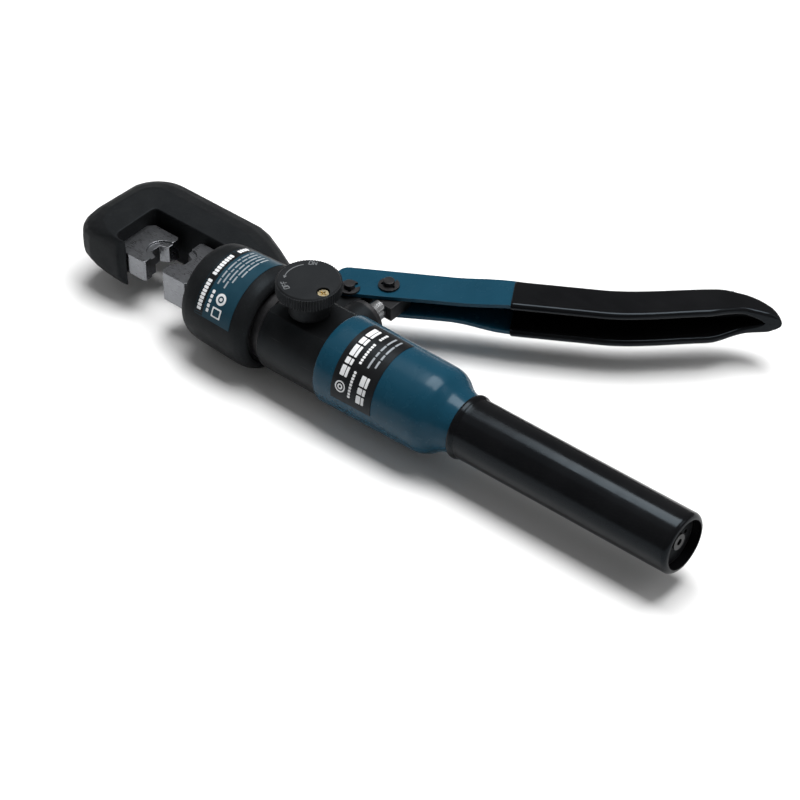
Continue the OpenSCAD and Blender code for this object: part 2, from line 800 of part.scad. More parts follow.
module lever_pin() {
    difference() {
        rod_z(pin_r, -clip_z - 3.1, clip_z + 3.1);
        for (side = [-1, 1]) {
            translate([0, 0, side * (clip_z + clip_t / 2)]) difference() {
                rod_z(pin_r + 1, -clip_t / 2, clip_t / 2);
                rod_z(pin_r - 0.5, -1, 1);
            }
        }
    }
}

module pivot_pin() color(dark_steel) in_frame() on_lever() lever_pin();

module plunger_pin() color(dark_steel) in_frame() translate([pin2_x, pin2_y, 0]) lever_pin();

// An open retaining clip that snaps into a pin's groove
module pin_clip() {
    difference() {
        rod_z(4.6, -clip_t / 2, clip_t / 2);
        rod_z(pin_r - 0.5, -1, 1);
        translate([3.5, 0, 0]) cube([7, 2.8, 4], center = true);
        for (a = [110, 250]) {
            rotate([0, 0, a]) translate([pin_r + 0.2, 0, 0]) rod_z(0.8, -1, 1);
        }
    }
}

module pin_clips() color(dark_steel) in_frame() {
    for (at = [[pivot_x, pivot_y, 60], [pin2_x, pin2_y, 100]], side = [-1, 1]) {
        translate([at[0], at[1], side * (clip_z + clip_t / 2)]) rotate([0, 0, at[2]]) pin_clip();
    }
}

head_frame();
fixed_die();
fixed_die_clip();
collar_label();
ram_wiper();
ram();
moving_die();
moving_die_clip();
ram_seal();
ram_return_spring();
ram_cylinder();
swivel_ring();
swivel_seal();
pump_body();
rear_housing();
housing_label();
reservoir_tube();
oil_bladder();
bladder_fitting();
intake_screen();
end_plug();
fill_screw();
grip_sleeve();
gland_nut();
plunger_seal();
plunger_wiper();
plunger_rod();
plunger_head();
spindle_bushing();
spindle_seal();
release_spindle();
release_knob();
knob_screw();
release_ball();
valve_plugs();
suction_seat();
delivery_ball();
suction_ball();
relief_ball();
delivery_spring();
suction_spring();
relief_spring();
lever_channel();
lever_grip();
pivot_pin();
plunger_pin();
pin_clips();
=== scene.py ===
"""Hand-pumped hydraulic crimping tool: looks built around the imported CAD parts."""

import json
import math

import bmesh
import bpy
import numpy as np
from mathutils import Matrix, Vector


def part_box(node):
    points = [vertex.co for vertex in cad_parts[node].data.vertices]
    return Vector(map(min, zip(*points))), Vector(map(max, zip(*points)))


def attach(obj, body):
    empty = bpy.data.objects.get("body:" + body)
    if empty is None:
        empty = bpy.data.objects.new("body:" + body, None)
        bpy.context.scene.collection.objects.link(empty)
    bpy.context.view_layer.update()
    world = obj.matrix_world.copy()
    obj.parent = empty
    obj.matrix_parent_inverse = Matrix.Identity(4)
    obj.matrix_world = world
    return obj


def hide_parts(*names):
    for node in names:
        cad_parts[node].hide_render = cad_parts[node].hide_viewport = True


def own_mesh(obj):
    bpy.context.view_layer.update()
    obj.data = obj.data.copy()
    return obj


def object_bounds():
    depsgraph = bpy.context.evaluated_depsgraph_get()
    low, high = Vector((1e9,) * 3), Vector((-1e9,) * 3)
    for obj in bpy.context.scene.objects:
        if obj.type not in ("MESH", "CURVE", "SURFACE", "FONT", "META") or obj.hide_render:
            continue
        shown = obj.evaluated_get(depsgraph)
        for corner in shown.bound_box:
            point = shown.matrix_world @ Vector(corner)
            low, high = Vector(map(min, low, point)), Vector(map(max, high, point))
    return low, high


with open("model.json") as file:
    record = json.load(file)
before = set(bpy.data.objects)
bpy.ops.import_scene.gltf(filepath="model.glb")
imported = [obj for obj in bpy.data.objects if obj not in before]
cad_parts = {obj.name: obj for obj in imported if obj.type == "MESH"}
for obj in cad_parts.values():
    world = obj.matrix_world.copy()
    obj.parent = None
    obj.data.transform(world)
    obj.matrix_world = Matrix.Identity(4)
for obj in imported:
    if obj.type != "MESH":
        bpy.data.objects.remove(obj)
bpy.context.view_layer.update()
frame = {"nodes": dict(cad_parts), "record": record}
NODES = frame["nodes"]

# ---------- where things are ----------
# Shapes are given in tool coordinates: millimetres about the tool axis, with
# x = 0 at the knob, +X towards the main grip, +Y the lever, +Z the knob.
GRIP_LO, GRIP_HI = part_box("grip_sleeve")
GRIP_END_X = 193.5
AXIS = Vector((
    GRIP_HI.x - GRIP_END_X / 1000,
    (GRIP_LO.y + GRIP_HI.y) / 2,
    (GRIP_LO.z + GRIP_HI.z) / 2,
))

# the lever's pivot (x, y) and its angle to the tool axis at rest
PIVOT = Vector((-5.4, 31.7))
LEVER_OPEN = math.radians(31)
ALONG = Vector((math.cos(LEVER_OPEN), math.sin(LEVER_OPEN)))
ACROSS = Vector((-ALONG.y, ALONG.x))


def tool(x, y, z):
    """A point in tool coordinates as metres in the frame."""
    return AXIS + Vector((x, y, z)) / 1000


def lever(u, n, z):
    """A point given along and across the lever as metres in the frame."""
    p = PIVOT + ALONG * u + ACROSS * n
    return tool(p.x, p.y, z)


def ease(u, a, b):
    """Rises smoothly from 0 at a to 1 at b."""
    t = max(0.0, min(1.0, (u - a) / (b - a)))
    return t * t * (3 - 2 * t)


# ---------- meshes ----------

WELD = 2e-6
COPLANAR_DEGREES = 0.6
CASTING_RELAX = 0.6


def add_object(name, data):
    """Puts a mesh, light or camera into the scene as an object."""
    obj = bpy.data.objects.new(name, data)
    bpy.context.scene.collection.objects.link(obj)
    return obj


def mesh_object(name, verts, faces):
    """A smooth-shaded object from points and faces, with doubled points welded."""
    mesh = bpy.data.meshes.new(name)
    mesh.from_pydata([tuple(v) for v in verts], [], faces)
    bm = bmesh.new()
    bm.from_mesh(mesh)
    bmesh.ops.remove_doubles(bm, verts=bm.verts, dist=1e-6)
    bmesh.ops.recalc_face_normals(bm, faces=bm.faces)
    bm.to_mesh(mesh)
    bm.free()
    for poly in mesh.polygons:
        poly.use_smooth = True
    return add_object(name, mesh)


def sharpen(obj, degrees):
    """Smooth shading, split where faces meet at more than the given angle."""
    bm = bmesh.new()
    bm.from_mesh(obj.data)
    for face in bm.faces:
        face.smooth = True
    limit = math.radians(degrees)
    for edge in bm.edges:
        edge.smooth = len(edge.link_faces) != 2 or edge.calc_face_angle(0) < limit
    bm.to_mesh(obj.data)
    bm.free()


def weight_normals(obj):
    """Keeps large faces flat in shading where they meet small bevels."""
    mod = obj.modifiers.new("normals", "WEIGHTED_NORMAL")
    mod.keep_sharp = True
    mod.weight = 60


def dress(obj, body, slot, mat, *replaced):
    """Gives a piece its material, its body and the CAD nodes it stands for; slot is not used."""
    obj.data.materials.clear()
    obj.data.materials.append(mat)
    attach(obj, body)
    if replaced:
        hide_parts(*replaced)
    return obj


def smooth_curve(points, per_span=6):
    """Catmull-Rom curve through (x, r) points, ends included."""
    pts = [points[0], *points, points[-1]]
    out = []
    for i in range(1, len(pts) - 2):
        p0, p1, p2, p3 = (np.array(p, float) for p in pts[i - 1:i + 3])
        for k in range(per_span):
            t = k / per_span
            bend = 2 * p0 - 5 * p1 + 4 * p2 - p3
            twist = 3 * p1 - p0 - 3 * p2 + p3
            out.append(tuple(0.5 * (2 * p1 + (p2 - p0) * t + bend * t * t + twist * t ** 3)))
    out.append(tuple(points[-1]))
    return out


def turned(name, profile, sides=192):
    """A closed ring of (x, r) points turned about the tool axis."""
    verts, faces = [], []
    for x, r in profile:
        for k in range(sides):
            a = 2 * math.pi * k / sides
            verts.append(tool(x, r * math.cos(a), r * math.sin(a)))
    count = len(profile)
    for i in range(count):
        j = (i + 1) % count
        for k in range(sides):
            m = (k + 1) % sides
            faces.append((i * sides + k, i * sides + m, j * sides + m, j * sides + k))
    obj = mesh_object(name, verts, faces)
    sharpen(obj, 35)
    return obj


def quarter(cx, cr, r, a0, a1, steps=6):
    """Arc of (x, r) points about (cx, cr), angles in degrees."""
    angles = [math.radians(a0 + (a1 - a0) * i / steps) for i in range(steps + 1)]
    return [(cx + r * math.cos(a), cr + r * math.sin(a)) for a in angles]


def cad_copy(node, name):
    """A free copy of a CAD node's mesh."""
    return add_object(name, NODES[node].data.copy())


def clean(obj):
    """Welds a CAD copy and joins its coplanar triangles."""
    bm = bmesh.new()
    bm.from_mesh(obj.data)
    bmesh.ops.remove_doubles(bm, verts=bm.verts, dist=WELD)
    bmesh.ops.dissolve_limit(bm, angle_limit=math.radians(COPLANAR_DEGREES), verts=bm.verts,
                             edges=bm.edges)
    bmesh.ops.recalc_face_normals(bm, faces=bm.faces)
    bm.to_mesh(obj.data)
    bm.free()


def bevelled(node, name, width, angle=35):
    """A CAD node with its sharp edges broken, as a machined part has them."""
    obj = cad_copy(node, name)
    clean(obj)
    sharpen(obj, angle)
    mod = obj.modifiers.new("edges", "BEVEL")
    mod.width = width / 1000
    mod.segments = 3
    mod.limit_method = "ANGLE"
    mod.angle_limit = math.radians(angle)
    mod.use_clamp_overlap = True
    mod.harden_normals = False
    mod.miter_outer = "MITER_ARC"
    weight_normals(obj)
    return obj


def apply_modifiers(obj):
    """Makes the modified mesh the object's own."""
    dg = bpy.context.evaluated_depsgraph_get()
    mesh = bpy.data.meshes.new_from_object(obj.evaluated_get(dg))
    obj.modifiers.clear()
    obj.data = mesh


def cast_copy(node, name, voxel, passes, hold):
    """A CAD node remeshed finely and rounded over like a casting.

    hold(points) gives a 0..1 weight per point; points at 0 stay where they are."""
    obj = cad_copy(node, name)
    mod = obj.modifiers.new("cast", "REMESH")
    mod.mode = "VOXEL"
    mod.voxel_size = voxel / 1000
    mod.use_smooth_shade = True
    apply_modifiers(obj)
    mesh = obj.data
    count = len(mesh.vertices)
    co = np.zeros(count * 3)
    mesh.vertices.foreach_get("co", co)
    co = co.reshape(-1, 3)
    edges = np.zeros(len(mesh.edges) * 2, np.int64)
    mesh.edges.foreach_get("vertices", edges)
    a, b = edges.reshape(-1, 2).T
    degree = np.bincount(a, minlength=count) + np.bincount(b, minlength=count)
    weight = hold(co)[:, None]
    for _ in range(passes):
        total = np.stack([np.bincount(a, co[b, k], count) + np.bincount(b, co[a, k], count)
                          for k in range(3)], 1)
        co += weight * CASTING_RELAX * (total / degree[:, None] - co)
    mesh.vertices.foreach_set("co", co.ravel())
    mesh.update()
    for poly in mesh.polygons:
        poly.use_smooth = True
    return obj


# ---------- materials ----------


class Nodes:
    """A small builder for one material's node tree."""

    def __init__(self, name):
        self.mat = bpy.data.materials.new(name)
        self.mat.use_nodes = True
        self.tree = self.mat.node_tree
        self.shader = self.tree.nodes["Principled BSDF"]
        self.coord = self.tree.nodes.new("ShaderNodeTexCoord").outputs["Object"]

    def new(self, kind, **props):
        node = self.tree.nodes.new(kind)
        for key, value in props.items():
            setattr(node, key, value)
        return node

    def link(self, source, target):
        self.tree.links.new(source, target)

    def stretched(self, scale, turn=(0, 0, 0)):
        """Coordinates stretched and turned, for lines and brush marks."""
        node = self.new("ShaderNodeMapping")
        node.inputs["Scale"].default_value = scale
        node.inputs["Rotation"].default_value = turn
        self.link(self.coord, node.inputs["Vector"])
        return node.outputs["Vector"]

    def noise(self, scale, detail=4, rough=0.55, vector=None):
        node = self.new("ShaderNodeTexNoise")
        node.inputs["Scale"].default_value = scale
        node.inputs["Detail"].default_value = detail
        node.inputs["Roughness"].default_value = rough
        self.link(vector or self.coord, node.inputs["Vector"])
        return node.outputs["Fac"]

    def specks(self, scale):
        """Distance to scattered points, which a ramp turns into dust specks."""
        node = self.new("ShaderNodeTexVoronoi", feature="F1")
        node.inputs["Scale"].default_value = scale
        self.link(self.coord, node.inputs["Vector"])
        return node.outputs["Distance"]

    def ramp(self, fac, *stops):
        """stops are (position, value) with a value that is a grey or an RGB."""
        node = self.new("ShaderNodeValToRGB")
        elements = node.color_ramp.elements
        while len(elements) < len(stops):
            elements.new(0.5)
        for element, (position, value) in zip(elements, stops):
            element.position = position
            rgb = (value,) * 3 if isinstance(value, (int, float)) else value
            element.color = (*rgb, 1)
        self.link(fac, node.inputs["Fac"])
        return node.outputs["Color"]

    def mix(self, fac, a, b):
        """Blends two colours; the sockets 0, 6 and 7 are the node's factor, A and B."""
        node = self.new("ShaderNodeMix", data_type="RGBA", blend_type="MIX")
        for index, value in ((0, fac), (6, a), (7, b)):
            if isinstance(value, (int, float)):
                node.inputs[index].default_value = value if index == 0 else (value,) * 3 + (1,)
            elif isinstance(value, tuple):
                node.inputs[index].default_value = (*value, 1)
            else:
                self.link(value, node.inputs[index])
        return node.outputs[2]

    def math(self, kind, a, b):
        node = self.new("ShaderNodeMath", operation=kind)
        for index, value in enumerate((a, b)):
            if isinstance(value, (int, float)):
                node.inputs[index].default_value = value
            else:
                self.link(value, node.inputs[index])
        return node.outputs[0]

    def edges(self, radius):
        """About 1 on sharp outer edges and 0 on open faces."""
        bevel = self.new("ShaderNodeBevel", samples=4)
        bevel.inputs["Radius"].default_value = radius / 1000
        geometry = self.new("ShaderNodeNewGeometry")
        dot = self.new("ShaderNodeVectorMath", operation="DOT_PRODUCT")
        self.link(bevel.outputs["Normal"], dot.inputs[0])
        self.link(geometry.outputs["Normal"], dot.inputs[1])
        return self.math("SUBTRACT", 1.0, dot.outputs["Value"])

    def bump(self, height, strength, distance, normal=None):
        """Surface relief, its distance in millimetres."""
        node = self.new("ShaderNodeBump")
        node.inputs["Strength"].default_value = strength
        node.inputs["Distance"].default_value = distance / 1000
        self.link(height, node.inputs["Height"])
        if normal is not None:
            self.link(normal, node.inputs["Normal"])
        return node.outputs["Normal"]

    def finish(self, color, rough, normal=None, **plain):
        """Connects the shader; plain holds uniform values by socket name."""
        for socket, value in (("Base Color", color), ("Roughness", rough), ("Normal", normal)):
            if value is not None:
                self.link(value, self.shader.inputs[socket])
        for key, value in plain.items():
            self.shader.inputs[key.replace("_", " ")].default_value = value
        return self.mat


# the blue cast that the photo's highlights have
SHEEN_TINT = (0.72, 0.88, 1.0, 1.0)


def patches(n, scale, low, high):
    """A mask of soft-edged patches for worn places."""
    return n.ramp(n.noise(scale, 6, 0.65), (low, 0.0), (high, 1.0))


def painted(name, dark, light, worn, rough, grain, grain_depth, wear, coat=0.0, spec=0.4):
    """Paint with fine grain, faint handling marks and rubbed edges."""
    n = Nodes(name)
    mottle = n.noise(60, 5)
    base = n.ramp(mottle, (0.3, dark), (0.7, light))
    scratches = n.noise(700, 3, 0.7, n.stretched((0.06, 1.0, 1.0), (0.2, 0.3, 0.5)))
    marks = n.ramp(scratches, (0.66, 0.0), (0.74, 1.0))
    base = n.mix(n.math("MULTIPLY", marks, 0.12), base, worn)
    chipped = n.math("MULTIPLY", n.edges(0.9), patches(n, 260, 0.42, 0.62))
    base = n.mix(n.math("MULTIPLY", chipped, wear), base, worn)
    roughness = n.ramp(n.noise(150, 4), (0.25, rough[0]), (0.75, rough[1]))
    normal = n.bump(n.noise(grain, 3, 0.6), 0.5, grain_depth)
    normal = n.bump(scratches, 0.05, 0.006, normal)
    return n.finish(base, roughness, normal, Coat_Weight=coat, Coat_Roughness=0.08,
                    Specular_IOR_Level=spec, Specular_Tint=SHEEN_TINT)


def cast_paint(name, dark, light):
    """Matt black paint over a cast surface: pores, unevenness, scuffs and rubbed edges."""
    n = Nodes(name)
    base = n.ramp(n.noise(70, 6, 0.6), (0.3, dark), (0.7, light))
    grit = n.noise(1100, 4, 0.65)
    base = n.mix(n.math("MULTIPLY", n.ramp(grit, (0.56, 0.0), (0.72, 1.0)), 0.35), base,
                 (0.022, 0.023, 0.024))
    rubbed = n.math("MULTIPLY", n.edges(1.1), patches(n, 240, 0.4, 0.62))
    base = n.mix(n.math("MULTIPLY", rubbed, 0.4), base, (0.05, 0.052, 0.054))
    scuffs = n.noise(420, 3, 0.7, n.stretched((0.08, 1.0, 1.0), (0.3, 0.2, 0.9)))
    base = n.mix(n.math("MULTIPLY", n.ramp(scuffs, (0.68, 0.0), (0.76, 1.0)), 0.3), base,
                 (0.03, 0.031, 0.032))
    roughness = n.ramp(n.noise(130, 5), (0.25, 0.44), (0.75, 0.6))
    normal = n.bump(n.noise(60, 3, 0.5), 0.25, 0.25)
    normal = n.bump(grit, 0.45, 0.09, normal)
    return n.finish(base, roughness, normal, Specular_IOR_Level=0.08, Specular_Tint=SHEEN_TINT)


def vinyl(name, dark, light, rough):
    """Dipped vinyl: deep gloss over a slightly wavy skin, dust and fine hairline rubs."""
    n = Nodes(name)
    base = n.ramp(n.noise(45, 4), (0.3, dark), (0.7, light))
    dust = n.ramp(n.specks(900), (0.0, 1.0), (0.09, 0.0))
    base = n.mix(n.math("MULTIPLY", dust, 0.05), base, (0.08, 0.08, 0.08))
    rubs = n.noise(520, 4, 0.7, n.stretched((0.05, 1.0, 1.0), (0.1, 0.0, 0.45)))
    roughness = n.ramp(n.mix(0.5, n.noise(120, 4), rubs), (0.35, rough[0]), (0.65, rough[1]))
    normal = n.bump(n.noise(55, 2, 0.4), 0.35, 0.25)
    normal = n.bump(n.noise(900, 2), 0.12, 0.01, normal)
    return n.finish(base, roughness, normal, Specular_IOR_Level=0.12, Specular_Tint=SHEEN_TINT)


def machined(name, dark, light, rough, lines, depth, metallic=1.0, stretch=(0.05, 1.0, 1.0),
             stain=None):
    """Bare or blackened steel with tool marks, stains and bright edges."""
    n = Nodes(name)
    tooling = n.noise(lines, 4, 0.65, n.stretched(stretch))
    base = n.ramp(n.mix(0.5, tooling, n.noise(90, 5)), (0.32, dark), (0.68, light))
    if stain:
        spots = n.ramp(n.noise(170, 6, 0.7), (0.58, 0.0), (0.72, 1.0))
        base = n.mix(n.math("MULTIPLY", spots, 0.35), base, stain)
    bright = tuple(min(1.0, c * 1.35 + 0.03) for c in light)
    base = n.mix(n.math("MULTIPLY", n.edges(0.35), 0.7), base, bright)
    roughness = n.ramp(n.mix(0.5, tooling, n.noise(240, 3)), (0.3, rough[0]), (0.7, rough[1]))
    normal = n.bump(tooling, 0.25, depth)
    return n.finish(base, roughness, normal, Metallic=metallic)


def plain_rubber(name):
    """Dull seal rubber with a fine moulded grain."""
    n = Nodes(name)
    base = n.ramp(n.noise(120, 5), (0.3, (0.008, 0.008, 0.008)), (0.7, (0.022, 0.022, 0.022)))
    roughness = n.ramp(n.noise(300, 3), (0.3, 0.55), (0.7, 0.8))
    return n.finish(base, roughness, n.bump(n.noise(900, 3), 0.4, 0.03))


def printed(name, dark, light, rough):
    """Printed label film: slight mottling, fine emboss and a soft sheen."""
    n = Nodes(name)
    base = n.ramp(n.noise(140, 4), (0.3, dark), (0.7, light))
    roughness = n.ramp(n.noise(260, 4), (0.3, rough[0]), (0.7, rough[1]))
    emboss = n.bump(n.noise(420, 3), 0.25, 0.02)
    return n.finish(base, roughness, emboss, Specular_IOR_Level=0.12, Specular_Tint=SHEEN_TINT)


MATS = {
    "head_paint": cast_paint("head_paint", (0.0052, 0.0055, 0.006), (0.009, 0.0095, 0.010)),
    "body_finish": painted("body_finish", (0.004, 0.0042, 0.0046), (0.0075, 0.0078, 0.0082),
                           (0.08, 0.08, 0.08), (0.3, 0.42), 1700, 0.03, 0.5, spec=0.1),
    "blue_paint": painted("blue_paint", (0.0045, 0.034, 0.058), (0.006, 0.040, 0.068),
                          (0.03, 0.08, 0.11), (0.22, 0.3), 300, 0.006, 0.15, 0.07, spec=0.12),
    "black_vinyl": vinyl("black_vinyl", (0.003, 0.003, 0.0034), (0.0055, 0.0055, 0.006),
                         (0.12, 0.24)),
    "matte_black": painted("matte_black", (0.0085, 0.0088, 0.0095), (0.0135, 0.014, 0.0148),
                           (0.07, 0.07, 0.07), (0.42, 0.58), 2200, 0.05, 0.4, spec=0.08),
    "label_blue": printed("label_blue", (0.0075, 0.030, 0.046), (0.010, 0.037, 0.056),
                          (0.32, 0.44)),
    "label_black": printed("label_black", (0.0055, 0.0055, 0.006), (0.009, 0.009, 0.0095),
                           (0.3, 0.42)),
    "die_steel": machined("die_steel", (0.135, 0.14, 0.15), (0.20, 0.207, 0.22), (0.24, 0.34),
                          1400, 0.006, stretch=(0.3, 1.0, 1.0), stain=(0.09, 0.092, 0.098)),
    "ground_steel": machined("ground_steel", (0.34, 0.35, 0.36), (0.5, 0.5, 0.51), (0.16, 0.28),
                             1600, 0.006, stretch=(1.0, 0.08, 1.0)),
    "black_steel": machined("black_steel", (0.010, 0.010, 0.011), (0.026, 0.026, 0.028),
                            (0.32, 0.46), 900, 0.02, metallic=0.6),
    "spring_steel": machined("spring_steel", (0.2, 0.2, 0.21), (0.34, 0.34, 0.35), (0.28, 0.4),
                             1200, 0.01),
    "brass": machined("brass", (0.56, 0.46, 0.27), (0.78, 0.66, 0.42), (0.24, 0.36), 900, 0.01,
                      stain=(0.35, 0.26, 0.13)),
    "seal_rubber": plain_rubber("seal_rubber"),
    "print_white": printed("print_white", (0.56, 0.57, 0.58), (0.68, 0.69, 0.70), (0.35, 0.5)),
    "print_soft": printed("print_soft", (0.20, 0.22, 0.24), (0.28, 0.30, 0.32), (0.4, 0.55)),
    "print_grey": printed("print_grey", (0.10, 0.105, 0.11), (0.15, 0.155, 0.16), (0.4, 0.55)),
}

SLOT_OF = {s["node"]: s["material_slot"] for s in frame["record"]["subparts"]}
for node, obj in NODES.items():
    obj.data.materials.clear()
    obj.data.materials.append(MATS[SLOT_OF[node]])

# the fill screw sits deep in the grip's open end; its steel is painted far darker than the other
# black steel, as painted shade for that recess
NODES["fill_screw"].data.materials[0] = machined(
    "painted_shade_steel", (0.004, 0.0045, 0.005), (0.009, 0.010, 0.011), (0.4, 0.55), 900, 0.02,
    metallic=0.3)

BODIES = frame["record"]["behaviour"]["bodies"]


def stand_for(obj, node):
    """Puts a detailed piece in a CAD node's place, with that node's body and material."""
    body = next(b for b, nodes in BODIES.items() if node in nodes)
    return dress(obj, body, SLOT_OF[node], MATS[SLOT_OF[node]], node)


# ---------- head ----------

# bores kept true in the cast head: radius, then from and to along the tool axis
TRUE_BORES = (
    (19.8, -52, -19),
    (17.2, -56, -50),
    (15.5, -72, -55),
    (4.5, -math.inf, -101),
)


def head_hold(points):
    """Keeps the collar's bores and the die's socket true; everything else is cast."""
    x = (points[:, 0] - AXIS.x) * 1000
    r = np.hypot(points[:, 1] - AXIS.y, points[:, 2] - AXIS.z) * 1000
    held = np.zeros(len(points), bool)
    for radius, start, end in TRUE_BORES:
        held |= (r < radius) & (x > start) & (x < end)
    return np.where(held, 0.0, 1.0)


casting = cast_copy("head_frame", "head_casting", voxel=0.42, passes=5, hold=head_hold)
stand_for(casting, "head_frame")
stand_for(bevelled("fixed_die", "fixed_die_shape", 0.3), "fixed_die")
stand_for(bevelled("moving_die", "moving_die_shape", 0.45), "moving_die")

# ---------- turned covers ----------

# closed (x, r) outlines: front edge, outer skin towards the grip's end, then the inside
housing = [(18.2, 15.9), (18.2, 19.0), *quarter(19.1, 19.0, 0.9, 180, 95, 5)]
housing += smooth_curve([(22, 19.87), (40, 19.66), (58, 19.46), (66, 19.36), (70, 19.05),
                         (73.2, 17.9), (76, 15.95), (78.6, 14.35), (81.4, 13.45), (84.4, 12.9),
                         (86.8, 12.86)], 8)
housing += [(87, 12.8), (87, 12.0), (71, 12.0), (69.6, 13.4), (46, 13.4), (46, 15.9)]
stand_for(turned("housing_shape", housing), "rear_housing")

GRIP_R = 13.4
GRIP_ROUND = 2.4
sleeve = [(84.5, 12.9), *quarter(85.3, 13.4, 0.8, 180, 90, 5)]
sleeve += smooth_curve([(86.2, 14.2), (86.9, 13.95), (87.7, 13.55), (89.0, 13.42), (100, GRIP_R),
                        (188, GRIP_R)], 6)
sleeve += quarter(GRIP_END_X - GRIP_ROUND, GRIP_R - GRIP_ROUND, GRIP_ROUND, 90, 0, 8)
sleeve += [(GRIP_END_X - 0.3, 11.3), (GRIP_END_X - 4.5, 11.2), (GRIP_END_X - 4.5, 12.0),
           (87, 12.0), (87, 12.9)]
stand_for(turned("sleeve_shape", sleeve), "grip_sleeve")

# ---------- pump body and small machined parts ----------

for node, width in (("pump_body", 0.5), ("plunger_head", 0.5), ("gland_nut", 0.35),
                    ("pivot_pin", 0.4), ("plunger_pin", 0.4), ("pin_clips", 0.2)):
    stand_for(bevelled(node, node + "_shape", width), node)

# ---------- check valve springs ----------


def check_spring(node):
    """A check valve's spring, with a mesh of its own; the real spring shortens towards its fixed
    end as the ball lifts.
    """
    spring = cad_copy(node, node + "_coil")
    sharpen(spring, 75)
    stand_for(spring, node)
    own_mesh(spring)


check_spring("delivery_spring")
check_spring("relief_spring")
check_spring("suction_spring")

# ---------- lever ----------

COAT = 1.0
GRIP_START = 69.5
GRIP_STEPS = 76
GRIP_WALL = 3.6
# distance from the grip's start, and the share of the coat's thickness there
DIP_EDGE = ((0.0, 0.35), (0.15, 0.7), (0.5, 0.93), (1.0, 1.0))

# the tip: its back rounds off from TIP_U on, and all of it closes from ROUND_U to TIP_END
TIP_U, TIP_N, TIP_R = 165.0, 3.2, 19.0
TIP_STRETCH = 1.1
TIP_STEPS = 40
TIP_MIDDLE = 0.45
ROUND_U = 177.0
TIP_END = 183.3

# the channel's hollow closes from here on, over this length
HOLLOW_U, HOLLOW_FADE = 163, 13


def far_n(u):
    """The channel's back, across the lever, at a distance along it."""
    return 14.5 - 1.9 * ease(u, 48, 76) + 9.2 * ease(u, 106, 168)


def near_n(u):
    """The channel's open side."""
    return (-3 + 0.6 * ease(u, 10, 40) - 1.2 * ease(u, 44, 64) + 10.2 * ease(u, 108, 170)
            + 4.8 * ease(u, 152, 170))


def half_h(u):
    """Half of the channel's height."""
    return 5.5 + 2.5 * ease(u, 44, 70) - 2.2 * ease(u, 154, 172) - 2.6 * ease(u, 166, 186)


def grip_section(u, near, far, h, hollow):
    """Loop of the dipped channel at one station; hollow runs from 1 to 0 as it closes."""
    depth = far - near
    lip = min(1.7, h * 0.45, depth * 0.3)
    corner = min(3.4, depth * 0.4, h * 0.8)
    inner_h = max(0.02, (h - GRIP_WALL) * hollow)
    inner_far = near + max(0.05, (depth - GRIP_WALL) * hollow)
    lip_in = min(lip, (inner_far - near) * 0.45, lip * (0.15 + 0.85 * hollow))
    bend = min(1.2, inner_h * 0.5, (inner_far - near) * 0.4)
    top = quarter(inner_far - bend, inner_h - bend, bend, 0, 90, 4)
    top += quarter(near + lip_in, inner_h + lip_in, lip_in, 270, 180, 5)
    top += quarter(near + lip, h - lip, lip, 180, 90, 6)
    top += quarter(far - corner, h - corner, corner, 90, 0, 8)
    bottom = [(n, -z) for n, z in reversed(top)]
    return [(u, n, z) for n, z in top + bottom]


def grip_stations():
    """Along the lever: position, near side, far side and half height of the dipped grip."""
    stations = []
    for step, share in DIP_EDGE:
        u, skin = GRIP_START + step, COAT * share
        stations.append((u, near_n(u) - skin, far_n(u) + skin, half_h(u) + skin))
    for i in range(1, GRIP_STEPS + 1):
        u = GRIP_START + 1 + (TIP_U - GRIP_START - 1) * i / GRIP_STEPS
        far = min(far_n(u) + COAT, TIP_N + TIP_R)
        stations.append((u, near_n(u) - COAT, far, half_h(u) + COAT))
    for i in range(1, TIP_STEPS + 1):
        u = TIP_U + (TIP_END - TIP_U) * math.sin(math.radians(90 * i / TIP_STEPS))
        far = TIP_N + TIP_R * math.sqrt(1 - ((u - TIP_U) / (TIP_STRETCH * TIP_R)) ** 2)
        t = max(0.0, (u - ROUND_U) / (TIP_END + 0.02 - ROUND_U))
        share = math.sqrt(1 - t * t)
        near = near_n(u) - COAT
        middle = far - (far - near) * TIP_MIDDLE
        stations.append((u, middle - (middle - near) * share, middle + (far - middle) * share,
                         (half_h(u) + COAT) * share))
    return stations


def lever_grip():
    """The grip's skin, lofted through its stations and capped at both ends."""
    loops = []
    for u, near, far, h in grip_stations():
        closing = max(0.0, min(1.0, (u - HOLLOW_U) / HOLLOW_FADE))
        loops.append(grip_section(u, near, far, h, math.sqrt(1 - closing ** 2)))
    size = len(loops[0])
    verts = [lever(*p) for loop in loops for p in loop]
    faces = []
    for start in range(0, (len(loops) - 1) * size, size):
        for k in range(size):
            m = (k + 1) % size
            faces.append((start + k, start + m, start + size + m, start + size + k))
    faces.append(tuple(range(size)))
    faces.append(tuple((len(loops) - 1) * size + k for k in range(size)))
    obj = mesh_object("lever_grip_shape", verts, faces)
    sharpen(obj, 50)
    weight_normals(obj)
    return obj


stand_for(lever_grip(), "lever_grip")
stand_for(bevelled("lever_channel", "lever_channel_shape", 0.55, angle=40), "lever_channel")

# ---------- printed and raised marks ----------

# how deep a printed patch reaches into the surface, and the angles along its round corner
SKIRT = 0.05
CORNER = (0.5, 1.05, 1.5)
RING_STEPS = 40

# a two-part block is split at this share of its width, with this half gap
SPLIT_AT = 0.62
SPLIT_GAP = 0.2


def collar_label_r(x):
    """Radius of the collar's label."""
    return 22.7 + 0.8 * (x + 47.5) / 22.5


def housing_label_r(x):
    """Radius of the housing's label."""
    return 20.1 - 0.5 * (x - 19.2) / 46.8


